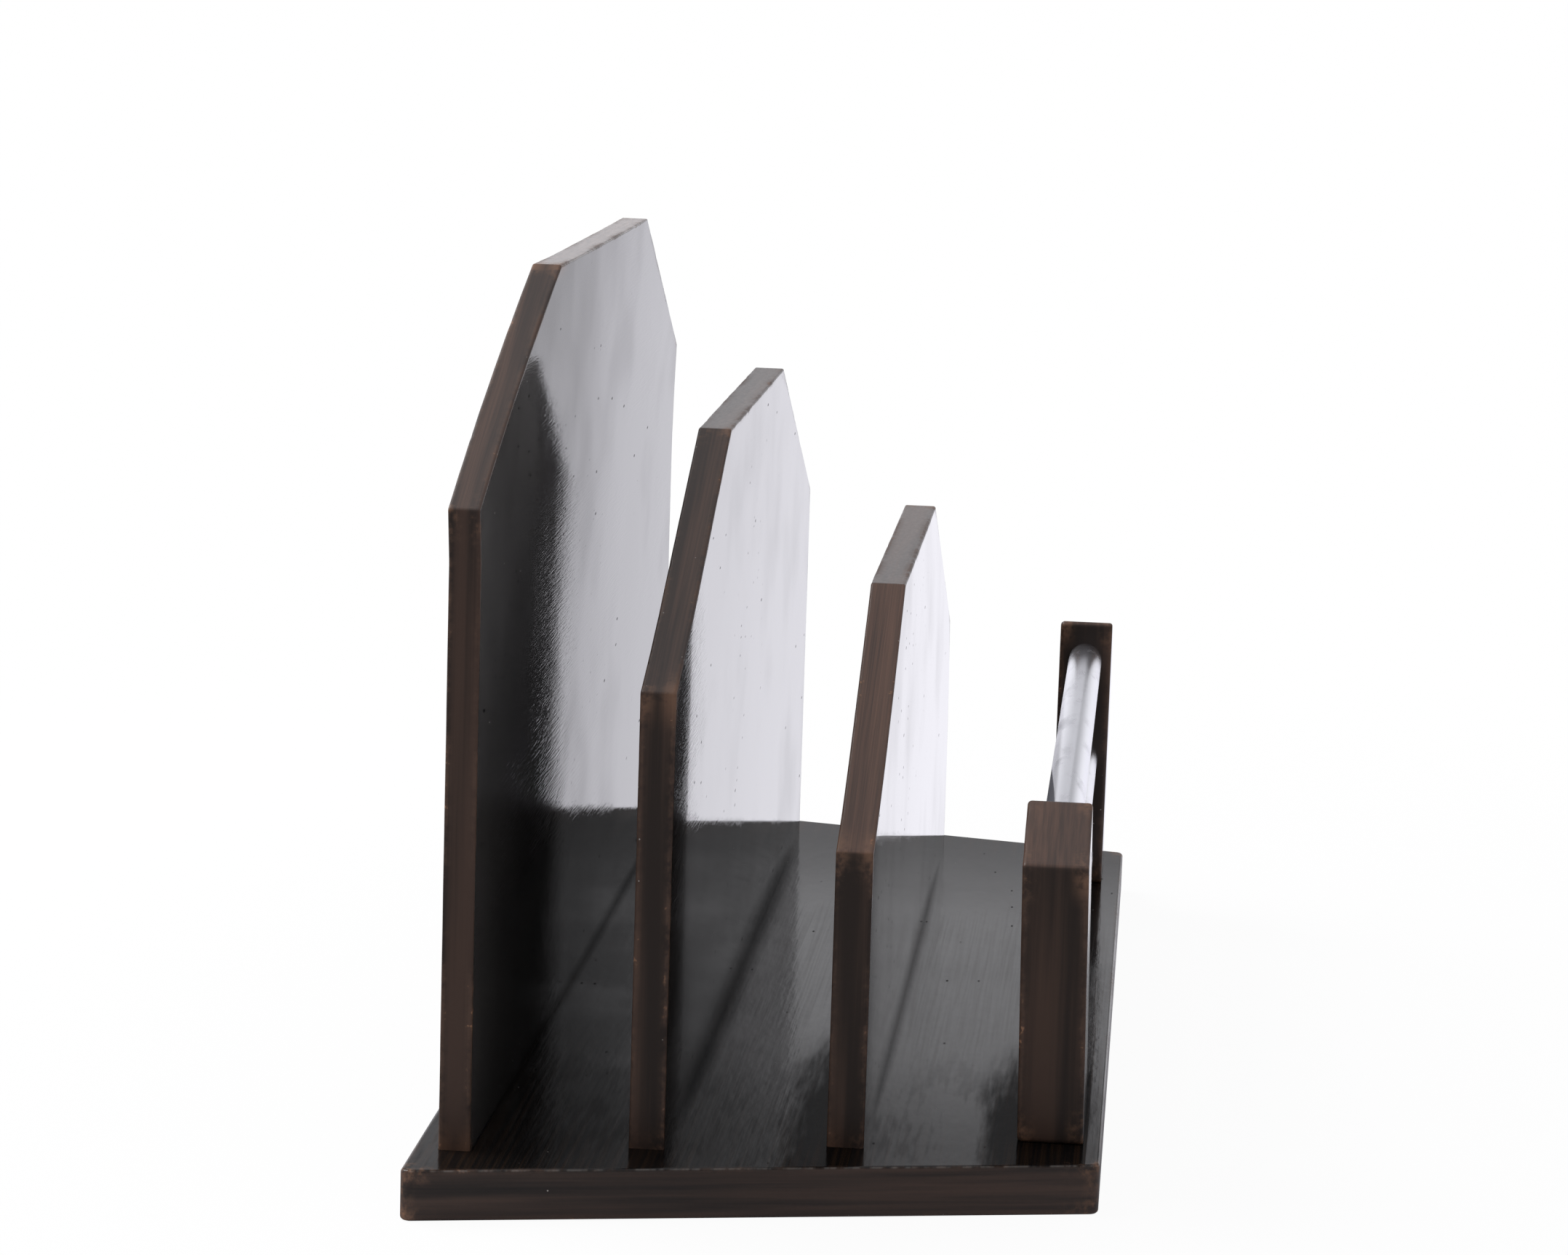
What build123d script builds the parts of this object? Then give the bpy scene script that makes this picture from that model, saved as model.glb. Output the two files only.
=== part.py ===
"""Desk letter holder.

Three upright boards, each lower and shorter than the one behind it, stand on a base whose ends
taper towards the front. Two posts with sloping tops carry three chrome rods as a front rail.
X runs along the boards, the front is at -Y, and the origin is under the middle of the base.
"""
import os

from build123d import *

# Base board. Its depth follows from what stands on it.
BASE_BACK_LENGTH = 272.0
BASE_FRONT_LENGTH = 224.4
BASE_THICKNESS = 8.0
BASE_CORNER_RADIUS = 1.6
BASE_EDGE_RADIUS = 0.6

# Spaces from back to front
BACK_MARGIN = 3.9
BACK_SLOT = 23.6
MIDDLE_SLOT = 24.8
FRONT_SLOT = 23.2
FRONT_MARGIN = 3.8

# Upright boards. Heights are above the base, and the crest is the level top of a board. The back
# board's crest is longer than the two others', and its slopes are shallower.
BOARD_THICKNESS = 5.2
BACK_BOARD_HEIGHT = 130.0
MIDDLE_BOARD_HEIGHT = 103.4
FRONT_BOARD_HEIGHT = 78.7
BACK_CREST_LENGTH = 105.3
CREST_LENGTH = 94.7
BACK_SHOULDER_DROP = 30.8
SHOULDER_DROP = 31.9
BOARD_END_INSET = 10.7
BOARD_EDGE_RADIUS = 0.4
HOUSING_DEPTH = 2.0
HOUSING_CLEARANCE = 0.05

# Rail posts. The outer end is the lower one.
POST_WIDTH = 20.0
POST_THICKNESS = 10.1
POST_OUTER_HEIGHT = 44.6
POST_TOP_RISE = 6.6
POST_END_INSET = 11.8
POST_EDGE_RADIUS = 0.5

# Rail rods, seated in blind holes in the posts
ROD_COUNT = 3
ROD_DIAMETER = 6.4
ROD_SEAT_DEPTH = 9.0
ROD_SEAT_CLEARANCE = 0.05
ROD_END_GAP = 0.2
ROD_END_CHAMFER = 0.4
ROD_TOP_COVER = 4.6
ROD_FOOT_GAP = 1.4

# Countersunk wood screws, driven up from under the base
SCREW_LENGTH = 20.0
SCREW_SHANK_DIAMETER = 2.6
SCREW_HEAD_DIAMETER = 5.2
SCREW_RIM = 0.25
SCREW_SLOT_WIDTH = 0.7
SCREW_SLOT_DEPTH = 0.6
SCREW_RECESS = 0.3
SCREW_CLEARANCE = 0.05
BOARD_SCREW_COUNT = 3
BOARD_SCREW_INSET = 32.0
POST_SCREW_INSET = 5.5

# Depth of the base and the middle plane of each upright, measured back from the rear edge
BOARD_HEIGHTS = {
    "back_board": BACK_BOARD_HEIGHT,
    "middle_board": MIDDLE_BOARD_HEIGHT,
    "front_board": FRONT_BOARD_HEIGHT,
}
CREST_LENGTHS = {"back_board": BACK_CREST_LENGTH, "middle_board": CREST_LENGTH, "front_board": CREST_LENGTH}
SHOULDER_DROPS = {"back_board": BACK_SHOULDER_DROP, "middle_board": SHOULDER_DROP, "front_board": SHOULDER_DROP}
BASE_DEPTH = (BACK_MARGIN + BACK_SLOT + MIDDLE_SLOT + FRONT_SLOT + FRONT_MARGIN
              + 3 * BOARD_THICKNESS + POST_THICKNESS)
BACK_BOARD_Y = BASE_DEPTH / 2 - BACK_MARGIN - BOARD_THICKNESS / 2
MIDDLE_BOARD_Y = BACK_BOARD_Y - BACK_SLOT - BOARD_THICKNESS
FRONT_BOARD_Y = MIDDLE_BOARD_Y - MIDDLE_SLOT - BOARD_THICKNESS
POST_Y = -BASE_DEPTH / 2 + FRONT_MARGIN + POST_THICKNESS / 2
BOARD_YS = {"back_board": BACK_BOARD_Y, "middle_board": MIDDLE_BOARD_Y, "front_board": FRONT_BOARD_Y}


def base_length_at(y):
    """Length of the tapered base on the line at depth y."""
    share = (BASE_DEPTH / 2 - y) / BASE_DEPTH
    return BASE_BACK_LENGTH + (BASE_FRONT_LENGTH - BASE_BACK_LENGTH) * share


def board_length(node):
    """A board stops the same distance short of both tapered ends."""
    return base_length_at(BOARD_YS[node]) - 2 * BOARD_END_INSET


# Rail values that the posts, the rods and their seats share
POST_OUTER_X = base_length_at(POST_Y) / 2 - POST_END_INSET
POST_INNER_X = POST_OUTER_X - POST_WIDTH
POST_INNER_HEIGHT = POST_OUTER_HEIGHT + POST_TOP_RISE
ROD_LOW_Z = BASE_THICKNESS + ROD_FOOT_GAP + ROD_DIAMETER / 2
ROD_HIGH_Z = BASE_THICKNESS + POST_INNER_HEIGHT - ROD_TOP_COVER - ROD_DIAMETER / 2
ROD_PITCH = (ROD_HIGH_Z - ROD_LOW_Z) / (ROD_COUNT - 1)
ROD_HEIGHTS = [ROD_LOW_Z + ROD_PITCH * i for i in range(ROD_COUNT)]
ROD_LENGTH = 2 * (POST_INNER_X + ROD_SEAT_DEPTH - ROD_END_GAP)


def soften(solid, radius, wall):
    """Round every edge of a solid, by no more than its thinnest wall allows."""
    return fillet(solid.edges(), min(radius, 0.45 * wall))


def prism_along_y(points, thickness, y):
    """Upright slab with a profile in X and Z, centred on the plane at depth y."""
    profile = make_face(Polyline(*points, close=True))
    return Pos(0, y, 0) * extrude(Plane.XZ * profile, amount=thickness / 2, both=True)


def screw_profile(gap, length):
    """Half profile of a countersunk screw, or of the hole for it where the gap is more than nothing."""
    head = SCREW_HEAD_DIAMETER / 2 + gap
    shank = SCREW_SHANK_DIAMETER / 2 + gap
    rim = SCREW_RIM + gap
    return Polyline(
        (0, 0), (head, 0), (head, rim), (shank, rim + head - shank),
        (shank, length - SCREW_SHANK_DIAMETER), (0, length), close=True,
    )


def wood_screw():
    """One slotted screw, point up, with its head's flat face on z = 0."""
    body = revolve(make_face(Plane.XZ * screw_profile(0, SCREW_LENGTH)), Axis.Z)
    slot = Box(2 * SCREW_HEAD_DIAMETER, SCREW_SLOT_WIDTH, 2 * SCREW_SLOT_DEPTH)
    return body - slot


def screw_hole():
    """Recess, countersink and pilot for one screw, cut from under the base into what it holds."""
    bore = revolve(make_face(Plane.XZ * screw_profile(SCREW_CLEARANCE, SCREW_LENGTH + SCREW_CLEARANCE)), Axis.Z)
    mouth_radius = SCREW_HEAD_DIAMETER / 2 + SCREW_CLEARANCE
    mouth = Pos(0, 0, -SCREW_RECESS) * Cylinder(
        mouth_radius, SCREW_RECESS + SCREW_RIM, align=(Align.CENTER, Align.CENTER, Align.MIN))
    return bore + mouth


def board_screw_places(node):
    """Screws in a row under a board, evenly spread between two end ones."""
    reach = board_length(node) / 2 - BOARD_SCREW_INSET
    step = 2 * reach / (BOARD_SCREW_COUNT - 1)
    return [Pos(-reach + step * i, BOARD_YS[node], SCREW_RECESS) for i in range(BOARD_SCREW_COUNT)]


def post_screw_places():
    """One screw under the outer part of each post, clear of the rod seats."""
    x = POST_OUTER_X - POST_SCREW_INSET
    return [Pos(side * x, POST_Y, SCREW_RECESS) for side in (-1, 1)]


ALL_SCREW_PLACES = [place for node in BOARD_YS for place in board_screw_places(node)] + post_screw_places()


def base_board():
    """Tapered slab with a stopped housing for each board and countersunk holes from below."""
    back, front, rear = BASE_BACK_LENGTH / 2, BASE_FRONT_LENGTH / 2, BASE_DEPTH / 2
    outline = make_face(Polyline((-back, rear), (back, rear), (front, -rear), (-front, -rear), close=True))
    slab = extrude(outline, amount=BASE_THICKNESS)
    slab = fillet(slab.edges().filter_by(Axis.Z), BASE_CORNER_RADIUS)
    rims = slab.faces().sort_by(Axis.Z)[0].edges() + slab.faces().sort_by(Axis.Z)[-1].edges()
    slab = fillet(rims, min(BASE_EDGE_RADIUS, 0.45 * BASE_THICKNESS))
    for node, y in BOARD_YS.items():
        slab -= Pos(0, y, BASE_THICKNESS) * Box(
            board_length(node) + 2 * HOUSING_CLEARANCE,
            BOARD_THICKNESS + 2 * HOUSING_CLEARANCE,
            2 * HOUSING_DEPTH,
        )
    for place in ALL_SCREW_PLACES:
        slab -= place * screw_hole()
    return slab


def upright_board(node):
    """Board with a level crest and a straight slope down to each shoulder, its foot in the base."""
    half, crest = board_length(node) / 2, CREST_LENGTHS[node] / 2
    foot = BASE_THICKNESS - HOUSING_DEPTH
    top = BASE_THICKNESS + BOARD_HEIGHTS[node]
    shoulder = top - SHOULDER_DROPS[node]
    board = prism_along_y(
        [(-half, foot), (half, foot), (half, shoulder), (crest, top), (-crest, top), (-half, shoulder)],
        BOARD_THICKNESS, BOARD_YS[node],
    )
    board = soften(board, BOARD_EDGE_RADIUS, BOARD_THICKNESS)
    for place in board_screw_places(node):
        board -= place * screw_hole()
    return board


def post(side):
    """Rail post on one end, with a top that rises inwards and a blind seat for each rod."""
    foot, outer, inner = BASE_THICKNESS, side * POST_OUTER_X, side * POST_INNER_X
    body = prism_along_y(
        [(outer, foot), (inner, foot), (inner, foot + POST_INNER_HEIGHT), (outer, foot + POST_OUTER_HEIGHT)],
        POST_THICKNESS, POST_Y,
    )
    body = soften(body, POST_EDGE_RADIUS, POST_THICKNESS)
    seat = Rot(0, 90, 0) * Cylinder(ROD_DIAMETER / 2 + ROD_SEAT_CLEARANCE, 2 * ROD_SEAT_DEPTH)
    for z in ROD_HEIGHTS:
        body -= Pos(inner, POST_Y, z) * seat
    for place in post_screw_places():
        body -= place * screw_hole()
    return body


def rail_rod(z):
    """Round rod from seat to seat, with its ends chamfered to enter the holes."""
    rod = Rot(0, 90, 0) * Cylinder(ROD_DIAMETER / 2, ROD_LENGTH)
    rod = chamfer(rod.edges().filter_by(GeomType.CIRCLE), ROD_END_CHAMFER)
    return Pos(0, POST_Y, z) * rod


def screw_group(places):
    """Identical screws as separate solids in one group."""
    return Compound(children=[place * wood_screw() for place in places])


def letter_holder():
    """Every piece of the letter holder by its name."""
    pieces = {"base_board": base_board()}
    for node in BOARD_YS:
        pieces[node] = upright_board(node)
    pieces["left_post"] = post(-1)
    pieces["right_post"] = post(1)
    for name, z in zip(["lower_rod", "middle_rod", "upper_rod"], ROD_HEIGHTS):
        pieces[name] = rail_rod(z)
    pieces["board_screws"] = screw_group([p for node in BOARD_YS for p in board_screw_places(node)])
    pieces["post_screws"] = screw_group(post_screw_places())
    return pieces


os.makedirs("parts", exist_ok=True)
for name, shape in letter_holder().items():
    export_step(shape, f"parts/{name}.step")
print(f"base depth {BASE_DEPTH:.1f}, rod pitch {ROD_PITCH:.2f}, rod length {ROD_LENGTH:.1f}")
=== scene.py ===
"""Looks of the desk letter holder: worn black-polished wood and chrome rods, on a pale studio floor.

The boards and posts are worn slabs worked out on grids, the rods are turned profiles, and the base and
the screws keep their solids. All lengths are in metres. The near end is at -X and the front is at -Y.
"""
import math

import bpy
import numpy as np
from mathutils import Matrix, Vector


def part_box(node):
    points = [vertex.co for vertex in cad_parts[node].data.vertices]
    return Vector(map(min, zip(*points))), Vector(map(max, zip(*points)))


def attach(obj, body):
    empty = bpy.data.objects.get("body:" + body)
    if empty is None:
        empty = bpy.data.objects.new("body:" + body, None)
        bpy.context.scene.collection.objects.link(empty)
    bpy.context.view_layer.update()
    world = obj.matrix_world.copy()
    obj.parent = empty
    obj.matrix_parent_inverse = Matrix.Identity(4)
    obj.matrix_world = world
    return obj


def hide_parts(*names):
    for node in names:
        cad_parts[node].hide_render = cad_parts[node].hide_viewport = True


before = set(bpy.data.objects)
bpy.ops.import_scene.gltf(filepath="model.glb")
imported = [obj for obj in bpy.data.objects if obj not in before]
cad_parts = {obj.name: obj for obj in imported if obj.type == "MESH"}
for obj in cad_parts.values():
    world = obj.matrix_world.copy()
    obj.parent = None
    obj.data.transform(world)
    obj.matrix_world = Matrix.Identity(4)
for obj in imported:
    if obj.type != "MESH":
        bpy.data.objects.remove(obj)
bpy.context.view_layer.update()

MM = 0.001

# Sizes that the frame's boxes do not give by themselves
CREST_LENGTHS = {"back_board": 105.3 * MM, "middle_board": 94.7 * MM, "front_board": 94.7 * MM}
SHOULDER_DROPS = {"back_board": 30.8 * MM, "middle_board": 31.9 * MM, "front_board": 31.9 * MM}
POST_TOP_RISE = 6.6 * MM
BOARD_EDGE_RADIUS = 0.4 * MM
POST_EDGE_RADIUS = 0.5 * MM
BASE_BACK_LENGTH = 272.0 * MM
BASE_FRONT_LENGTH = 224.4 * MM
ROD_END_CHAMFER = 0.4 * MM

# Warps of age: a bend above a height, a curl of the upper near corner, a bow and a turn of the near end
BOARD_WARPS = {
    "back_board": dict(thicker=-0.3 * MM, bend=-1.3 * MM, bend_from=76 * MM, curl=0.50, bow=0.046),
    "middle_board": dict(thicker=0.3 * MM, tail=0.22 * MM),
    "front_board": dict(thicker=0.6 * MM, bend=0.7 * MM, tail=0.15 * MM),
}
BEND_SKEW = 7.0
CURL_HEIGHT = 99 * MM
CURL_START = -40 * MM
TAIL_LENGTH = 22 * MM

# How the posts stand, with their shifts in Y at the foot and at the top, and the rise of the rail's far end
POST_STANCES = {
    "left_post": dict(thicker=0.25 * MM, at_foot=-0.70 * MM, at_top=0.35 * MM),
    "right_post": dict(thicker=0.0, at_foot=0.0, at_top=0.0),
}
RAIL_RISE = 1.4 * MM

# Chips and waves of the arrises, and the seeds of their draws
CHIP_COUNT = 26
CHIP_WIDTHS = (0.5 * MM, 1.8 * MM)
CHIP_DEPTHS = (0.1, 0.9)
WAVE_TURNS = (3, 90, 6)
FIRST_BOARD_SEED = 3
FIRST_POST_SEED = 51
SEED_STEP = 10

# Grid steps of the worn slabs and the rods. A slab's corners are rounder than its arrises.
OUTLINE_STEP = 0.8 * MM
ROUND_STEPS = 5
CORNER_STEPS = 7
CORNER_ROUNDING = 1.9
FACE_RINGS = tuple(gap * MM for gap in (0.3, 1.0, 2.5, 6.0, 11.0, 17.0, 24.0, 32.0, 42.0, 54.0))
SIDE_GAPS = (0.3 * MM, 1.0 * MM)
ROD_SIDES = 96
ROD_RINGS = 60

# Camera, as a heading from +X, a look down, a roll and a lens on its sensor
EYE = Vector((-0.76351, -0.05761, 0.20062))
HEADING = math.radians(4.96)
LOOK_DOWN = math.radians(9.643)
ROLL = math.radians(1.803)
LENS_MM = 100.32
SENSOR_WIDTH_MM = 36.0
NEAREST_SEEN = 0.01
FARTHEST_SEEN = 20.0

# Studio: one soft lamp, and the floor's reach along X and Y
LAMP_PLACE = Vector((0.25, 0.95, 1.05))
LAMP_AIM = Vector((0.0, 0.0, 0.05))
LAMP_SIZE = 0.9
LAMP_WATTS = 17.0
FLOOR_X = (-1.5, 3.0)
FLOOR_Y = (-2.0, 2.0)

# Linear colours of the finishes
BLACK_POLISH = (0.0060, 0.0055, 0.0055)
BROWN_POLISH = (0.0200, 0.0120, 0.0080)
DARK_SIDE = (0.0200, 0.0172, 0.0160)
BROWN_SIDE = (0.0920, 0.0545, 0.0405)
RUBBED_BROWN = (0.1050, 0.0620, 0.0440)
# Painted light on the slopes that face up
LIT_SLOPE_BROWN = (0.3000, 0.1500, 0.1000)
BARE_WOOD = (0.3600, 0.1900, 0.1100)
# Painted highlight on the crests
CREST_HIGHLIGHT = (0.3000, 0.2200, 0.1950)
FILM = (0.1500, 0.1450, 0.1420)
DUST = (0.5000, 0.4700, 0.4400)
CHROME = (0.9300, 0.9400, 1.0000)
TARNISH = (0.5200, 0.5200, 0.5600)
# Dark of the painted reflection of the boards on the rods
PAINTED_REFLECTION_DARK = (0.0800, 0.0800, 0.0950)
STEEL = (0.4000, 0.3800, 0.3500)
RUST = (0.1600, 0.0850, 0.0500)
FLOOR_WHITE = (0.9300, 0.9300, 0.9400)
MIRRORED_WHITE = (0.9450, 0.9350, 1.0000)
COVE_WHITE = (0.9700, 0.9650, 1.0000)
WHITE = (1.0, 1.0, 1.0)
NO_LIGHT = (0.0, 0.0, 0.0)

# What follows the grain, which runs along X in the boards and upright in the posts. Strokes are as high as
# said in tenths of a millimetre: everywhere, added in patches, and added at the near end.
BOARD_GRAIN = {
    "layers": (90 * MM, 3.4 * MM, 90 * MM),
    "smudges": (38 * MM, 30 * MM, 30 * MM),
    "pit_lengths": (3.5, 1, 1),
    "strokes": (5.0 * MM, 5.0 * MM, 0.30 * MM),
    "stroke_heights": (0.08, 0.16, 0.14),
}
POST_GRAIN = {
    "layers": (40 * MM, 6.0 * MM, 90 * MM),
    "smudges": (26 * MM, 30 * MM, 60 * MM),
    "pit_lengths": (1, 3.5, 1),
    "strokes": (0.30 * MM, 5.0 * MM, 5.0 * MM),
    "stroke_heights": (0.03, 0.0, 0.0),
}
RELIEF_UNIT = 0.1 * MM

# Finishes of the uprights, with the wear that all boards share
BOARD_FINISHES = {
    "back_board": dict(coat=0.10, haze=0.70, crest_highlight=0.85, warmth=0.0),
    "middle_board": dict(coat=0.58, haze=0.10, crest_highlight=0.35, warmth=0.0),
    "front_board": dict(coat=1.0, haze=0.10, crest_highlight=0.30, warmth=0.6),
}
BOARD_WEAR = dict(back_dull=0.95, corner_wear=0.4)
POST_FINISH = dict(coat=0.6, haze=0.0, crest_highlight=0.0, warmth=0.4, back_dull=0.3, corner_wear=0.6)

# Dark, dull wedges on the base: they grow towards the near end and towards the piece in front, from the
# first place to the second along X and along Y, and stop at a last place in Y
DULL_WEDGES = (
    ((-10 * MM, -85 * MM), (6 * MM, -11 * MM), -14 * MM),
    ((-20 * MM, -92 * MM), (-27 * MM, -39 * MM), -50 * MM),
)

# Painted shade along the feet of the boards on the base, as dark dull lines: how wide and how strong
FOOT_SHADE_LINES = {
    "back_board": (2.2 * MM, 0.6),
    "middle_board": (4.2 * MM, 0.72),
    "front_board": (2.4 * MM, 0.65),
}


class Sock:
    """A node's output that takes part in Python maths: each operator adds a Math node to its tree."""

    def __init__(self, tree, out):
        self.tree = tree
        self.out = out

    def add(self, kind, inputs=None, out=0, **settings):
        """A new node in the same tree: its settings are set first, then its sockets' values or links."""
        return add_node(self.tree, kind, inputs, out, **settings)

    def math(self, operation, *values):
        """A Math node on this value and others."""
        inputs = dict(enumerate((self, *values)))
        return self.add("ShaderNodeMath", inputs, operation=operation)

    def __add__(self, other):
        return self.math("ADD", other)

    def __radd__(self, other):
        return self.math("ADD", other)

    def __sub__(self, other):
        return self.math("SUBTRACT", other)

    def __rsub__(self, other):
        return self.add("ShaderNodeMath", {0: other, 1: self}, operation="SUBTRACT")

    def __mul__(self, other):
        return self.math("MULTIPLY", other)

    def __rmul__(self, other):
        return self.math("MULTIPLY", other)

    def __pow__(self, other):
        return self.math("POWER", other)

    def least(self, other):
        return self.math("MINIMUM", other)

    def most(self, other):
        return self.math("MAXIMUM", other)

    def size(self):
        return self.math("ABSOLUTE")

    def ease(self, low, high):
        """Smooth step from 0 at low to 1 at high. Where low is the larger, it falls instead."""
        if low > high:
            return 1 - self.ease(high, low)
        inputs = {"Value": self, 1: low, 2: high, 3: 0.0, 4: 1.0}
        return self.add("ShaderNodeMapRange", inputs, interpolation_type="SMOOTHSTEP")


def add_node(tree, kind, inputs=None, out=0, **settings):
    """A node of any type. Its settings come first, then the value or the link of each socket."""
    node = tree.nodes.new(kind)
    for key, value in settings.items():
        setattr(node, key, value)
    for key, value in (inputs or {}).items():
        socket = node.inputs[key]
        if isinstance(value, Sock):
            tree.links.new(value.out, socket)
        elif socket.type == "RGBA" and len(value) == 3:
            socket.default_value = (*value, 1.0)
        else:
            socket.default_value = value
    return Sock(tree, node.outputs[out]) if node.outputs else node


def mix_colour(share, low, high):
    """Colour low where the share is 0 and colour high where it is 1."""
    return share.add(
        "ShaderNodeMix", {"Factor": share, 6: low, 7: high}, out=2, data_type="RGBA", clamp_factor=True)


def start_material(name):
    """An empty node material, and its tree's Object coordinates."""
    material = bpy.data.materials.new(name)
    material.use_nodes = True
    material.node_tree.nodes.clear()
    return material, add_node(material.node_tree, "ShaderNodeTexCoord", out="Object")


def end_material(material, surface):
    """Joins the finished shader to the material's output."""
    add_node(material.node_tree, "ShaderNodeOutputMaterial", {"Surface": surface})
    return material


def stretched(place, x, y, z):
    """Object coordinates counted in features: each number is the length of one feature along its axis."""
    scale = (1 / x, 1 / y, 1 / z)
    return place.add("ShaderNodeMapping", {"Vector": place, "Scale": scale})


def noise(place, detail=2.0, roughness=0.5):
    """Smooth noise from 0 to 1 on the given coordinates, one feature to a unit."""
    inputs = {"Vector": place, "Scale": 1.0, "Detail": detail, "Roughness": roughness}
    return place.add("ShaderNodeTexNoise", inputs)


def parts(split):
    """All the outputs of the node that one output belongs to."""
    return [Sock(split.tree, out) for out in split.out.node.outputs]


def axes(place):
    """X, Y and Z of the coordinates."""
    return parts(place.add("ShaderNodeSeparateXYZ", {"Vector": place}))


def point_value(place, name):
    """A value that the mesh keeps on its points."""
    return place.add("ShaderNodeAttribute", out="Fac", attribute_name=name)


def specks(place, pitch, radius, share, long=(1, 1, 1), cells="3D"):
    """Small marks: cells of a given pitch, of which only a share holds a speck of the given radius.

    long gives how many times as long as that the cells and their specks are along each axis. Flat cells lie
    in the first two axes."""
    inputs = {"Vector": stretched(place, *(pitch * times for times in long)), "Scale": 1.0}
    nearness = place.add("ShaderNodeTexVoronoi", inputs, out="Distance", voronoi_dimensions=cells)
    pick = place.add("ShaderNodeTexVoronoi", inputs, out="Color", voronoi_dimensions=cells)
    chance = parts(place.add("ShaderNodeSeparateColor", {"Color": pick}))[0]
    size = radius / pitch
    return nearness.ease(size, 0.5 * size) * chance.ease(1 - share, 1 - share + 0.01)


def worn_edges(place, colour, edge_gap, corner_gap, corner_wear):
    """Rubs the edges: browner close by and on the arris in places, and bare wood at corners and chips.

    Returns the new colour and how far the polish is gone."""
    clouds = noise(stretched(place, 16 * MM, 16 * MM, 16 * MM), detail=3.0)
    fray = noise(stretched(place, 1.6 * MM, 1.6 * MM, 1.6 * MM), detail=5.0, roughness=0.65)
    patch = clouds * 0.6 + fray * 0.4
    close = edge_gap.ease(1.3 * MM, 0.1 * MM)
    arris = edge_gap.ease(0.40 * MM, 0.05 * MM)
    corner = corner_gap.ease(7 * MM, 0.5 * MM) * edge_gap.ease(3 * MM, 0.2 * MM)
    rubbed = close * patch.ease(0.42, 0.64)
    thin = arris * patch.ease(0.44, 0.60)
    chips = fray.ease(0.61, 0.66) * clouds.ease(0.50, 0.60) * edge_gap.ease(0.6 * MM, 0.1 * MM)
    bare = (corner * patch.ease(0.46, 0.60) * corner_wear).most(chips)
    colour = mix_colour(rubbed * 0.45, colour, RUBBED_BROWN)
    colour = mix_colour(thin * 0.60, colour, RUBBED_BROWN)
    colour = mix_colour(bare * 0.75, colour, BARE_WOOD)
    return colour, (rubbed * 0.3).most(thin * 0.6).most(bare)


def dusty(place, colour, edge_gap):
    """Adds pale dust specks, more of them close to edges. Returns the new colour and the specks."""
    sparse = specks(place, 5.0 * MM, 0.16 * MM, 0.70)
    dense = specks(place, 1.8 * MM, 0.15 * MM, 0.35) * edge_gap.ease(0.5 * MM, 0.1 * MM)
    marks = sparse.most(dense)
    return mix_colour(marks * 0.8, colour, DUST), marks


def finish(place, colour, rough, coat, dull, height):
    """Polished wood that goes over to dull wood, with one relief for both."""
    bump = place.add("ShaderNodeBump", {"Strength": 1.0, "Distance": RELIEF_UNIT, "Height": height})
    polished = place.add("ShaderNodeBsdfPrincipled", {
        "Base Color": colour, "Roughness": rough, "IOR": 1.5, "Coat Weight": coat, "Coat Roughness": 0.04,
        "Coat IOR": 1.5, "Normal": bump})
    matte = place.add("ShaderNodeBsdfPrincipled", {
        "Base Color": colour, "Roughness": 1.0, "Specular IOR Level": 0.0, "Normal": bump})
    return place.add("ShaderNodeMixShader", {0: dull, 1: polished, 2: matte})


def wood_layers(place, layer_sizes):
    """Layers of the wood, and the fibres in them: a tenth as thick as a layer and three tenths as long."""
    thickness = min(layer_sizes)
    fibre_sizes = [size * (0.1 if size == thickness else 0.3) for size in layer_sizes]
    layers = noise(stretched(place, *layer_sizes), detail=2.0, roughness=0.45)
    fibres = noise(stretched(place, *fibre_sizes), detail=3.0, roughness=0.6)
    return layers, fibres


def face_relief(place, grain):
    """Polished face's relief: short strokes with the grain, and slow waves."""
    even, in_patches, at_near_end = grain["stroke_heights"]
    strokes = noise(stretched(place, *grain["strokes"]), detail=2.0, roughness=0.5)
    waves = noise(stretched(place, 60 * MM, 60 * MM, 40 * MM), detail=1.0)
    patches = noise(stretched(place, 30 * MM, 30 * MM, 18 * MM), detail=2.0).ease(0.35, 0.65)
    near_end = axes(place)[0].ease(-60 * MM, -115 * MM)
    return strokes * (even + patches * in_patches + near_end * at_near_end) + waves * 0.4


def face_pits(place, lengths, clouds, near):
    """Pits drawn out with the grain, in cloudy places: large ones all over, small ones on the near half.

    Their cells are flat, in X and Z."""
    x, _, z = axes(place)
    flat = place.add("ShaderNodeCombineXYZ", {0: x, 1: z})
    large = specks(flat, 5.5 * MM, 0.34 * MM, 0.20, lengths, "2D") * clouds.ease(0.46, 0.56)
    small = specks(flat, 2.8 * MM, 0.26 * MM, 0.30, lengths, "2D") * clouds.ease(0.44, 0.55) * near
    return large.most(small)


def face_colour(clouds, fibres, film, pits):
    """Black polish that is brown in clouds, paler in streaks, and with black pits."""
    colour = mix_colour(clouds * 0.8, BLACK_POLISH, BROWN_POLISH)
    colour = mix_colour(film * (0.5 + fibres), colour, FILM)
    return mix_colour(pits, colour, BLACK_POLISH)


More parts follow.
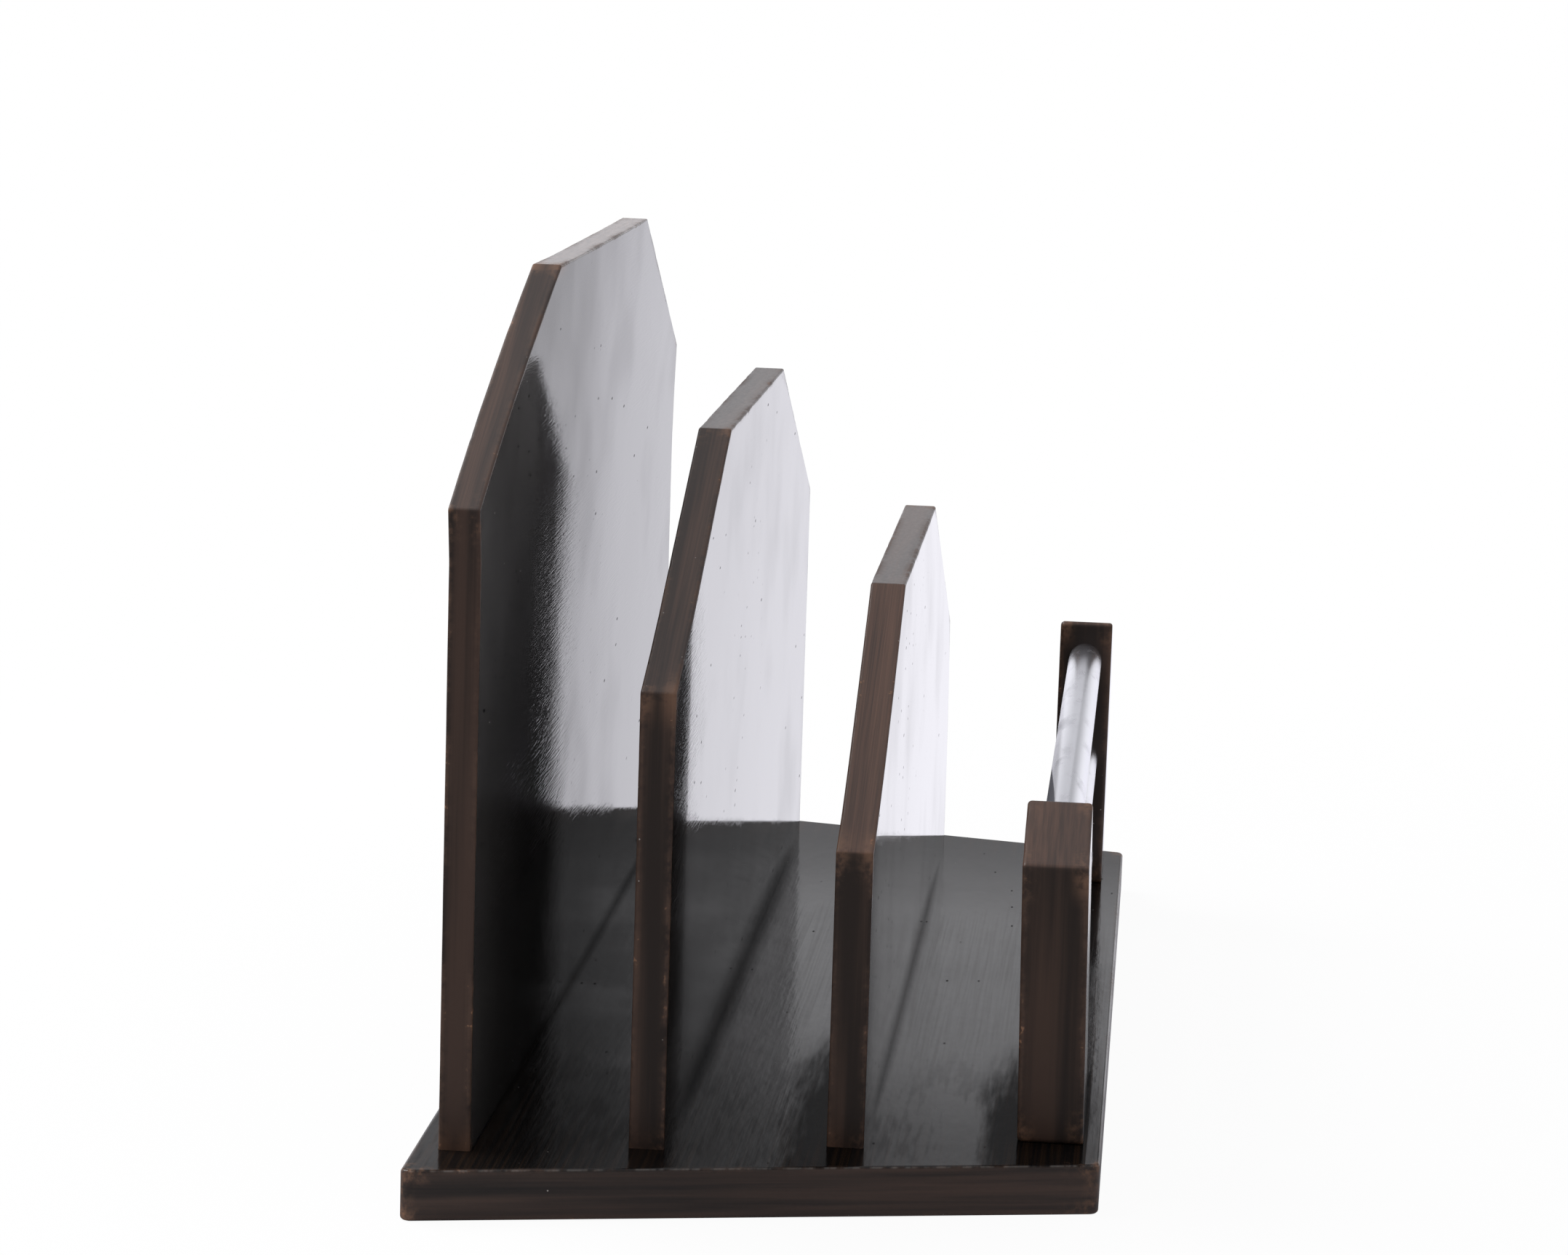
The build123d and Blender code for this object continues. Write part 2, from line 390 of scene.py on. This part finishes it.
def side_colour(place, layers, fibres, slope, crest, crest_highlight, warmth):
    """Dark and brown layers, with dark streaks and painted light on the slopes that face up, and a mottled
    painted highlight on the crest.
    """
    mottle = noise(stretched(place, 1.8 * MM, 0.7 * MM, 1.8 * MM), detail=5.0, roughness=0.7).ease(0.30, 0.75)
    stripe = (layers + fibres * 0.20 - 0.10).ease(0.36, 0.64)
    stripe = 0.45 + (stripe - 0.5) * (0.55 + 0.05 * slope)
    brown = tuple(a + (b - a) * warmth for a, b in zip(BROWN_SIDE, RUBBED_BROWN))
    # Paler on the slopes that face up: painted light from above, stronger with warmth
    lit_slope = slope * (1 - crest) * (0.05 + 0.35 * warmth) * (0.3 + fibres * 1.4)
    colour = mix_colour(stripe, DARK_SIDE, brown)
    colour = mix_colour(lit_slope, colour, LIT_SLOPE_BROWN)
    colour = mix_colour(slope * fibres.ease(0.62, 0.32) * 0.25, colour, DARK_SIDE)
    # Pale, mottled crest: a painted highlight
    return mix_colour(crest * mottle * crest_highlight, colour, CREST_HIGHLIGHT)


def upright_material(name, grain, coat, haze, crest_highlight, warmth, back_dull, corner_wear):
    """Wood of the boards and the posts: polished black faces, satin brown sides with lengthwise layers.

    coat is the second layer of polish on the front, haze is how pale the front's near end turns, more so
    higher up, bloom is how strong the painted highlight on the crest is, and warmth is how far the sides go
    over to a rubbed brown and how much painted light the slopes that face up get.
    back_dull is how dull the back is, and corner_wear is how bare the corners are."""
    material, place = start_material(name)
    front, back = point_value(place, "front"), point_value(place, "back")
    edge_gap, corner_gap = point_value(place, "edge_gap"), point_value(place, "corner_gap")
    up = point_value(place, "up")
    face, slope, crest = front.most(back), up.ease(0.3, 0.8), up.ease(0.96, 0.99)
    layers, fibres = wood_layers(place, grain["layers"])
    clouds = noise(stretched(place, 22 * MM, 22 * MM, 22 * MM), detail=3.0)
    smudges = noise(stretched(place, *grain["smudges"]), detail=2.0).ease(0.42, 0.75)
    x, _, z = axes(place)
    near = x.ease(40 * MM, -50 * MM)
    pits = face_pits(place, grain["pit_lengths"], clouds, near)
    film = near * (0.6 + 0.4 * z.ease(50 * MM, 115 * MM)) * (0.6 + clouds * 0.6) * front * haze

    sides = side_colour(place, layers, fibres, slope, crest, crest_highlight, warmth)
    colour = mix_colour(face, sides, face_colour(clouds, fibres, film, pits))
    colour, gone = worn_edges(place, colour, edge_gap, corner_gap, corner_wear)
    colour, marks = dusty(place, colour, edge_gap)

    side_rough = 0.34 - crest * crest_highlight * 0.20 + fibres * 0.06
    face_rough = 0.045 + smudges * 0.03
    rough = side_rough * (1 - face) + face_rough * face + gone * 0.20
    shine = front * (1 - smudges * 0.3) * (1 - gone) * coat
    dull = (back * back_dull).most(pits * face * 0.7).most(gone * (0.6 - crest * 0.4)).most(marks)
    dull = dull.most((1 - face) * (1 - crest) * (0.5 - slope * 0.28))
    dull = dull.most(front * (film * 0.4 + smudges * (0.04 + 0.10 * haze)))
    height = face_relief(place, grain) * face + fibres * 0.03 * (1 - face) - pits * 0.04
    return end_material(material, finish(place, colour, rough, shine, dull, height))


def base_gaps(place, box_low, box_high):
    """How near a point of the base is to one of its edges and to one of its corners, in metres.

    The base is a slab between two levels, two long sides and two tapered ends. On its surface the least of
    the three distances to those planes is about nothing, so the middle one is the distance to an edge, and
    the largest is the distance to a corner."""
    x, y, z = axes(place)
    half_depth = (box_high.y - box_low.y) / 2
    slope = (BASE_BACK_LENGTH - BASE_FRONT_LENGTH) / 2 / (2 * half_depth)
    middle = (BASE_BACK_LENGTH + BASE_FRONT_LENGTH) / 4
    to_end = (middle + y * slope - x.size()) * math.cos(math.atan(slope))
    to_side = half_depth - y.size()
    to_level = z.least(box_high.z - z)
    edge_gap = to_end.least(to_side).most(to_end.most(to_side).least(to_level))
    return edge_gap, to_end.most(to_side).most(to_level)


def foot_shade_lines(x, y):
    """Dark lines on the base along the feet of the boards: painted shade, drawn as dull polish."""
    lines = 0
    for node, (width, strength) in FOOT_SHADE_LINES.items():
        low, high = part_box(node)
        outside = (low.y - y).most(y - high.y)
        fading = x.size().ease(high.x - 40 * MM, high.x) * 0.4
        beyond = x.size().ease(high.x, high.x + 1 * MM) * 0.6
        lines = lines + outside.ease(width, 0.0) * (1 - fading - beyond) * strength
    return lines


def dull_wedges(x, y, fray):
    """Wedges on the base, dullest in a corner between two pieces, with frayed rims."""
    wedges = 0
    for along, across, stop in DULL_WEDGES:
        depth = x.ease(*along) * y.ease(*across) * y.ease(stop - 0.5 * MM, stop)
        wedges = wedges + (depth + (fray - 0.5) * 1.2 * depth.ease(0.0, 0.5)).ease(0.05, 0.85)
    return wedges


def base_top_dullness(place, x, y):
    """How dull the base's top is: in wedges, at the boards' feet, towards both ends, and in near smears. At
    the boards' feet and towards both ends it is painted shade.
    """
    brushed = noise(stretched(place, 10 * MM, 0.9 * MM, 10 * MM), detail=2.0)
    fray = brushed * 0.45 + noise(stretched(place, 26 * MM, 9 * MM, 26 * MM), detail=2.0) * 0.55
    # Duller towards both ends: painted shade for the dimmer reflection there
    near = x.ease(-40 * MM, -115 * MM)
    far = x.ease(30 * MM, 125 * MM)
    smears = x.ease(-20 * MM, -80 * MM) * fray.ease(0.47, 0.62)
    dull = (dull_wedges(x, y, fray) * 0.85).most(foot_shade_lines(x, y))
    return dull.most(near * 0.36 + smears * 0.16).most(far * 0.48)


def base_material(box_low, box_high):
    """Wood of the base: black top with dull patches and length streaks, brown edges all round."""
    material, place = start_material("base_wood")
    x, y, z = axes(place)
    edge_gap, corner_gap = base_gaps(place, box_low, box_high)
    top = z.ease(box_high.z - 0.5 * MM, box_high.z - 0.1 * MM)
    streaks = noise(stretched(place, 45 * MM, 0.6 * MM, 4 * MM), detail=3.0, roughness=0.55)
    layers = noise(stretched(place, 60 * MM, 60 * MM, 1.6 * MM), detail=3.0, roughness=0.55)
    clouds = noise(stretched(place, 26 * MM, 14 * MM, 26 * MM), detail=4.0)
    ripples = noise(stretched(place, 5 * MM, 1.6 * MM, 5 * MM), detail=2.0)
    waves = noise(stretched(place, 60 * MM, 40 * MM, 60 * MM), detail=1.0)
    pits = specks(place, 5 * MM, 0.28 * MM, 0.25, (3, 1, 1), "2D") * clouds.ease(0.40, 0.55)

    sides = mix_colour(layers.ease(0.20, 0.85), DARK_SIDE, BROWN_SIDE)
    polish = mix_colour(streaks.ease(0.4, 0.7), BLACK_POLISH, BROWN_POLISH)
    colour = mix_colour(top, sides, polish)
    colour, gone = worn_edges(place, colour, edge_gap, corner_gap, 1.0)
    rim = edge_gap.ease(0.45 * MM, 0.10 * MM) * ripples.ease(0.40, 0.60) * z.ease(4 * MM, 7 * MM)
    colour = mix_colour(rim * 0.20, colour, DUST)
    colour, marks = dusty(place, colour, edge_gap)

    rough = 0.34 - top * 0.24 + clouds.ease(0.45, 0.75) * 0.06 + streaks * 0.06 + gone * 0.2
    # Part of this dullness is painted shade, at the boards' feet and towards both ends
    dull = base_top_dullness(place, x, y).most(pits * 0.8) * top
    dull = dull.most(gone * 0.6).most(marks)
    dull = dull.most(top * streaks.ease(0.35, 0.75) * 0.14)
    height = (streaks * 0.09 + ripples * 0.20 + waves * 1.0) * top + layers * 0.02 - pits * 0.04
    return end_material(material, finish(place, colour, rough, 0.0, dull, height))


def chrome_material():
    """Bright plating with grey smudges and a few pits.

    On the boards' side it has a dark wedge, which widens towards the near post. The wedge is a painted
    reflection of the dark boards."""
    material, place = start_material("chrome_rod")
    low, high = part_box("lower_rod")
    x, y, _ = axes(place)
    side = (y - (low.y + high.y) / 2) * (2 / (high.y - low.y))
    # Painted reflection: a dark wedge on the boards' side, wider towards the near post
    wedge = (side + x.ease(-15 * MM, -75 * MM) * 0.60 - 1).ease(0.0, 0.06) * 0.85
    smudge = noise(stretched(place, 12 * MM, 5 * MM, 5 * MM), detail=4.0, roughness=0.6).ease(0.50, 0.74)
    waves = noise(stretched(place, 40 * MM, 6 * MM, 6 * MM), detail=1.0)
    pits = specks(place, 2.6 * MM, 0.14 * MM, 0.25)
    colour = mix_colour(smudge * 0.15 + pits * 0.4, CHROME, TARNISH)
    rough = 0.24 + smudge * 0.10 + pits * 0.3
    bump = place.add("ShaderNodeBump", {"Strength": 1.0, "Distance": 0.05 * MM, "Height": waves - pits * 0.3})
    bright = place.add("ShaderNodeBsdfPrincipled", {
        "Base Color": colour, "Metallic": 1.0, "Roughness": rough, "Normal": bump})
    dark = place.add("ShaderNodeBsdfPrincipled", {
        "Base Color": PAINTED_REFLECTION_DARK, "Roughness": 1.0, "Specular IOR Level": 0.0})
    return end_material(material, place.add("ShaderNodeMixShader", {0: wedge, 1: bright, 2: dark}))


def steel_material():
    """Dull screw steel, browned in patches."""
    material, place = start_material("screw_steel")
    patches = noise(stretched(place, 2 * MM, 2 * MM, 2 * MM), detail=4.0).ease(0.45, 0.7)
    colour = mix_colour(patches, STEEL, RUST)
    shader = place.add("ShaderNodeBsdfPrincipled", {
        "Base Color": colour, "Metallic": 1 - patches * 0.6, "Roughness": 0.35 + patches * 0.35})
    return end_material(material, shader)


def floor_material():
    """Pale floor that the camera sees as white with the shadow left in.

    The camera and the gloss see mostly plain white. The shadow is let through close to the holder and fades
    out with distance, and the gloss sees the floor grow dark towards -X."""
    material, place = start_material("floor")
    tree = place.tree
    x, y, _ = axes(place)
    distance = (x * x + y * y) ** 0.5
    lit = add_node(tree, "ShaderNodeBsdfDiffuse", {"Color": FLOOR_WHITE})
    camera = add_node(tree, "ShaderNodeLightPath", out="Is Camera Ray")
    glossy = add_node(tree, "ShaderNodeLightPath", out="Is Glossy Ray")
    through = add_node(tree, "ShaderNodeLightPath", out="Is Transmission Ray")
    far_side = x.ease(-0.20, 0.10)
    mirrored = mix_colour(far_side * 0.9 + 0.1, NO_LIGHT, MIRRORED_WHITE)
    colour = mix_colour(camera, mirrored, WHITE)
    plain = add_node(tree, "ShaderNodeEmission", {"Color": colour, "Strength": 1.0})
    share = (camera * (0.95 + 0.05 * distance.ease(0.18, 0.40))).most(glossy).most(through)
    return end_material(material, add_node(tree, "ShaderNodeMixShader", {0: share, 1: lit, 2: plain}))


def make_piece(name, points, face_groups, values=None):
    """A smooth-shaded mesh object from arrays of points and faces, with values kept on its points."""
    mesh = bpy.data.meshes.new(name)
    faces = [face for group in face_groups for face in group.tolist()]
    mesh.from_pydata(points, [], faces)
    mesh.polygons.foreach_set("use_smooth", np.ones(len(mesh.polygons), bool))
    for key, numbers in (values or {}).items():
        mesh.attributes.new(key, "FLOAT", "POINT").data.foreach_set("value", np.asarray(numbers, np.float32))
    mesh.update()
    piece = bpy.data.objects.new(name, mesh)
    bpy.context.scene.collection.objects.link(piece)
    return piece


def rounded_outline(corners, radius):
    """Closed outline of straight runs joined by arcs, counter-clockwise.

    Each corner's arc touches both runs, and each run is divided evenly. Returns points, outward normals,
    the length along the outline at each point, and each point's distance to the nearest corner."""
    corners = np.asarray(corners, float)
    ahead = np.roll(corners, -1, 0) - corners
    ahead /= np.linalg.norm(ahead, axis=1, keepdims=True)
    behind = np.roll(ahead, 1, 0)
    turn = np.arctan2(behind[:, 0] * ahead[:, 1] - behind[:, 1] * ahead[:, 0], (behind * ahead).sum(1))
    cut = radius * np.tan(turn / 2)
    first = corners - behind * cut[:, None]
    last = corners + ahead * cut[:, None]
    outward = np.stack([behind[:, 1], -behind[:, 0]], 1)
    points, normals = [], []
    for i in range(len(corners)):
        angles = np.arctan2(outward[i, 1], outward[i, 0]) + np.linspace(0, turn[i], CORNER_STEPS)
        around = np.stack([np.cos(angles), np.sin(angles)], 1)
        centre = first[i] - outward[i] * radius
        points.append(centre + around * radius)
        normals.append(around)
        end = first[(i + 1) % len(corners)]
        count = max(int(np.linalg.norm(end - last[i]) / OUTLINE_STEP), 2)
        share = np.linspace(0, 1, count + 1)[1:-1, None]
        points.append(last[i] + (end - last[i]) * share)
        normals.append(np.repeat(around[-1:], count - 1, 0))
    points, normals = np.concatenate(points), np.concatenate(normals)
    steps = np.linalg.norm(np.roll(points, -1, 0) - points, axis=1)
    to_corner = np.linalg.norm(points[:, None] - corners, axis=2).min(1)
    return points, normals, np.concatenate([[0], np.cumsum(steps)]), to_corner


def worn_radius(run, usual, seed):
    """Edge radius along an outline: the usual one, swelled and thinned by waves, with a few small chips.

    The waves are whole numbers of turns around the outline, so that it closes. A chip is a bell curve."""
    draw = np.random.default_rng(seed)
    length, at = run[-1], run[:-1]
    waves = np.arange(*WAVE_TURNS)
    phases = draw.uniform(0, 2 * np.pi, len(waves))
    sizes = draw.uniform(0.3, 1.0, len(waves)) / np.sqrt(waves)
    swell = (np.sin(2 * np.pi * at[:, None] / length * waves + phases) * sizes).sum(1)
    places = draw.uniform(0, length, CHIP_COUNT)
    widths = draw.uniform(*CHIP_WIDTHS, CHIP_COUNT)
    depths = draw.uniform(*CHIP_DEPTHS, CHIP_COUNT)
    away = np.abs(at[:, None] - places)
    away = np.minimum(away, length - away)
    chips = (depths * np.exp(-(away / widths) ** 2)).sum(1)
    return usual * np.clip(1 + 0.25 * swell + 0.5 * chips, 0.55, 1.75)


def half_slab(points, normals, middle, rings, reach, round_off):
    """Rows of one half of a slab, from the innermost ring of its face out to its side.

    A ring is the face's rim drawn in towards the middle. The quarter round goes out as a sine and rises as
    one less a cosine, and the side goes straight on. Returns places in the outline's plane, rises above the
    face, and distances to the arris."""
    rim = points - normals * round_off[:, None]
    angles = np.linspace(0, np.pi / 2, ROUND_STEPS + 1)
    flats = [middle + (rim - middle) * (1 - ring / reach) for ring in rings[::-1]]
    flats += [points - normals * (round_off * (1 - np.sin(angle)))[:, None] for angle in angles]
    flats += [points for _ in SIDE_GAPS]
    rises = [np.zeros(len(points)) for _ in rings]
    rises += [round_off * (1 - np.cos(angle)) for angle in angles]
    rises += [round_off + gap for gap in SIDE_GAPS]
    gaps = [*rings[::-1], *np.zeros(len(angles)), *SIDE_GAPS]
    return np.array(flats), np.array(rises), np.array(gaps)


def slab_faces(row_count, count):
    """Quads between neighbouring rows, and a fan that closes each end on one of two last points."""
    at = np.arange(row_count * count).reshape(row_count, count)
    ahead = np.roll(at, -1, 1)
    quads = np.stack([at[:-1], ahead[:-1], ahead[1:], at[1:]], -1).reshape(-1, 4)
    low_fan = np.stack([np.full(count, at.size), ahead[0], at[0]], -1)
    high_fan = np.stack([np.full(count, at.size + 1), at[-1], ahead[-1]], -1)
    return [quads, low_fan, high_fan]


def worn_slab(name, corners, low, high, radius, turn_to_space, seed):
    """A slab with rounded, worn arrises, its back at the low level and its front at the high one.

    Going across the grid: the middle of the back, the rows of the back half, one row halfway, the rows of
    the front half, and the middle of the front. Going along: the outline. The points keep their distance to
    the nearest arris and corner, how far a side faces up, and whether they are on the front or the back."""
    points, normals, run, to_corner = rounded_outline(corners, CORNER_ROUNDING * radius)
    count, middle = len(points), points.mean(0)
    reach = np.linalg.norm(points - middle, axis=1).mean()
    rings = [gap for gap in FACE_RINGS if gap < 0.7 * reach]
    (low_flats, low_rises, half_gaps), (high_flats, high_rises, _) = [
        half_slab(points, normals, middle, rings, reach, worn_radius(run, radius, seed + half))
        for half in (0, 1)]
    flats = np.concatenate([low_flats, points[None], high_flats[::-1]])
    halfway = np.full((1, count), (low + high) / 2)
    levels = np.concatenate([low + low_rises, halfway, high - high_rises[::-1]])
    gaps = np.concatenate([half_gaps, [(high - low) / 2 - radius], half_gaps[::-1]])

    back = np.arange(len(gaps)) <= len(rings)
    front = back[::-1]
    side_up = np.tile(normals[:, 1], len(gaps)) * np.repeat(~(back | front), count)
    values = {
        "edge_gap": np.append(np.repeat(gaps, count), [reach, reach]),
        "corner_gap": np.append(np.tile(to_corner, len(gaps)), [reach, reach]),
        "up": np.append(side_up, [0, 0]),
        "back": np.append(np.repeat(back, count), [1, 0]),
        "front": np.append(np.repeat(front, count), [0, 1])}
    grid = np.concatenate([np.dstack([flats, levels]).reshape(-1, 3), [[*middle, low], [*middle, high]]])
    return make_piece(name, turn_to_space(grid), slab_faces(len(gaps), count), values)


def upright(points):
    """Outline in X and Z with depth in Y. The depth is turned round so that faces still point outwards."""
    return np.column_stack([points[:, 0], -points[:, 2], points[:, 1]])


def dress(piece, material, node):
    """Gives a new piece its finish and sets it in the place of its node."""
    piece.data.materials.append(material)
    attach(piece, "root")
    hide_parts(node)


def bent(points, start, end, amount):
    """Bends an upright in Y: it grows as a square of the height from start to end, and along X to +X."""
    share = np.clip((points[:, 2] - start) / (end - start), 0, None) ** 2
    points[:, 1] += amount * share * (1 + BEND_SKEW * points[:, 0])
    return points


def curled(points, curl, bow, tail):
    """Warps an upright in Y: its upper near corner and its near end turn back, and its middle bows forward.

    The curl is a rate times the height above one line and the length past another. The bow is a parabola
    along X that is nothing at both ends. The tail grows as a square over the last stretch of the near end."""
    above = np.clip(points[:, 2] - CURL_HEIGHT, 0, None)
    beyond = np.clip(CURL_START - points[:, 0], 0, None)
    end = points[:, 0].max()
    last = np.clip(1 - (points[:, 0] + end) / TAIL_LENGTH, 0, 1)
    points[:, 1] += curl * above * beyond + bow * (points[:, 0] ** 2 - end ** 2) + tail * last ** 2
    return points


def board(node, material, seed, thicker, bend=0.0, bend_from=0.0, curl=0.0, bow=0.0, tail=0.0):
    """An upright board: a level crest, a straight slope to each shoulder, and a slight warp of age."""
    low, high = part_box(node)
    half, crest, shoulder = high.x, CREST_LENGTHS[node] / 2, high.z - SHOULDER_DROPS[node]
    right = [(half, low.z), (half, shoulder), (crest, high.z)]
    left = [(-x, z) for x, z in right[::-1]]

    def warped(points):
        return curled(bent(upright(points), low.z + bend_from, high.z, bend), curl, bow, tail)

    front_face = -low.y + thicker
    piece = worn_slab("worn_" + node, right + left, -high.y, front_face, BOARD_EDGE_RADIUS, warped, seed)
    dress(piece, material, node)


def rail_post(node, material, seed, thicker, at_foot, at_top):
    """A rail post: its top rises towards the middle of the holder.

    It leans evenly in Y, from one shift at its foot to another at its top."""
    low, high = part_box(node)
    left_top, right_top = high.z - POST_TOP_RISE, high.z
    if low.x > 0:
        left_top, right_top = right_top + RAIL_RISE, left_top + RAIL_RISE
    corners = [(low.x, low.z), (high.x, low.z), (high.x, right_top), (low.x, left_top)]

    def leaning(points):
        points = upright(points)
        points[:, 1] += at_foot + (at_top - at_foot) * (points[:, 2] - low.z) / (high.z - low.z)
        return points

    front_face = -low.y + thicker
    piece = worn_slab("worn_" + node, corners, -high.y, front_face, POST_EDGE_RADIUS, leaning, seed)
    dress(piece, material, node)


def rod(node, material):
    """A turned rod: a half profile from end to end, carried round the X axis, that rises to the far end."""
    low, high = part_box(node)
    radius = (high.z - low.z) / 2
    along = np.concatenate([
        [low.x, low.x + ROD_END_CHAMFER],
        np.linspace(low.x + 2 * ROD_END_CHAMFER, high.x - 2 * ROD_END_CHAMFER, ROD_RINGS),
        [high.x - ROD_END_CHAMFER, high.x]])
    reach = np.full(len(along), radius)
    reach[[0, -1]] -= ROD_END_CHAMFER
    turn = np.linspace(0, 2 * np.pi, ROD_SIDES, endpoint=False)
    rise = RAIL_RISE * (along - low.x) / (high.x - low.x)
    x = along[:, None] * np.ones_like(turn)
    y = (low.y + high.y) / 2 + reach[:, None] * np.cos(turn)
    z = (low.z + high.z) / 2 + rise[:, None] + reach[:, None] * np.sin(turn)
    points = np.stack([x, y, z], -1).reshape(-1, 3)
    at = np.arange(len(points)).reshape(len(along), ROD_SIDES)
    ahead = np.roll(at, -1, 1)
    quads = np.stack([at[:-1], at[1:], ahead[1:], ahead[:-1]], -1).reshape(-1, 4)
    piece = make_piece("polished_" + node, points, [quads, at[:1], at[-1:, ::-1]])
    dress(piece, material, node)


def keep_node(node, material):
    """A node whose solid is shown as it is, with its finish in place of the plain one."""
    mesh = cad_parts[node].data
    mesh.materials.clear()
    mesh.materials.append(material)


def make_floor():
    """A wide level floor under the holder."""
    x, y = np.meshgrid(FLOOR_X, FLOOR_Y)
    points = np.column_stack([x.ravel(), y.ravel(), np.zeros(4)])
    floor = make_piece("floor", points, [np.array([[0, 1, 3, 2]])])
    floor.data.materials.append(floor_material())


def make_world():
    """Plain white to the camera. As light it is a pale cove, white low down and dimmer above.

    The right of it is dimmer than the left, and the side at -X is dim low down."""
    world = bpy.data.worlds.new("studio")
    bpy.context.scene.world = world
    world.use_nodes = True
    tree = world.node_tree
    tree.nodes.clear()
    x, y, z = axes(add_node(tree, "ShaderNodeTexCoord", out="Generated"))
    cove = 0.64 + 0.36 * z.ease(0.23, 0.05)
    cove = cove * (1 - 0.7 * y.ease(-0.055, -0.10) * z.ease(0.16, 0.21))
    above = 0.30 + 0.32 * z.ease(0.40, 0.80)
    climb = z.ease(0.26, 0.33)
    lit = cove * (1 - climb) + above * climb
    far = x.ease(-0.60, 0.25).most(z.ease(0.10, 0.80))
    level = 0.27 * (1 - far) + lit * far
    camera = add_node(tree, "ShaderNodeLightPath", out="Is Camera Ray")
    colour = mix_colour(camera, mix_colour(level, NO_LIGHT, COVE_WHITE), WHITE)
    shade = add_node(tree, "ShaderNodeBackground", {"Color": colour, "Strength": 1.0})
    add_node(tree, "ShaderNodeOutputWorld", {"Surface": shade})


def make_lamp():
    """One large soft lamp, high up on the left and somewhat behind."""
    data = bpy.data.lights.new("soft_lamp", "AREA")
    data.shape = "SQUARE"
    data.size = LAMP_SIZE
    data.energy = LAMP_WATTS
    lamp = bpy.data.objects.new("soft_lamp", data)
    aim = (LAMP_AIM - LAMP_PLACE).to_track_quat("-Z", "Y")
    lamp.matrix_world = Matrix.Translation(LAMP_PLACE) @ aim.to_matrix().to_4x4()
    bpy.context.scene.collection.objects.link(lamp)


def make_camera():
    """Camera from its heading, look down and roll."""
    level_reach = math.cos(LOOK_DOWN)
    ahead = Vector((level_reach * math.cos(HEADING), level_reach * math.sin(HEADING), -math.sin(LOOK_DOWN)))
    level_right = ahead.cross(Vector((0, 0, 1))).normalized()
    level_up = level_right.cross(ahead)
    right = level_right * math.cos(ROLL) + level_up * math.sin(ROLL)
    up = level_up * math.cos(ROLL) - level_right * math.sin(ROLL)
    data = bpy.data.cameras.new("camera")
    data.sensor_width = SENSOR_WIDTH_MM
    data.lens = LENS_MM
    data.clip_start, data.clip_end = NEAREST_SEEN, FARTHEST_SEEN
    camera = bpy.data.objects.new("camera", data)
    camera.matrix_world = Matrix.Translation(EYE) @ Matrix((right, up, -ahead)).transposed().to_4x4()
    bpy.context.scene.collection.objects.link(camera)
    bpy.context.scene.camera = camera


post_wood = upright_material("post_wood", POST_GRAIN, **POST_FINISH)
base_wood = base_material(*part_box("base_board"))
chrome = chrome_material()
steel = steel_material()

for i, (node, look) in enumerate(BOARD_FINISHES.items()):
    wood = upright_material(node + "_wood", BOARD_GRAIN, **look, **BOARD_WEAR)
    board(node, wood, FIRST_BOARD_SEED + SEED_STEP * i, **BOARD_WARPS[node])
for i, (node, stance) in enumerate(POST_STANCES.items()):
    rail_post(node, post_wood, FIRST_POST_SEED + SEED_STEP * i, **stance)
for node in ["lower_rod", "middle_rod", "upper_rod"]:
    rod(node, chrome)
keep_node("base_board", base_wood)
keep_node("board_screws", steel)
keep_node("post_screws", steel)

make_floor()
make_world()
make_lamp()
make_camera()
bpy.context.scene.view_settings.view_transform = "Standard"
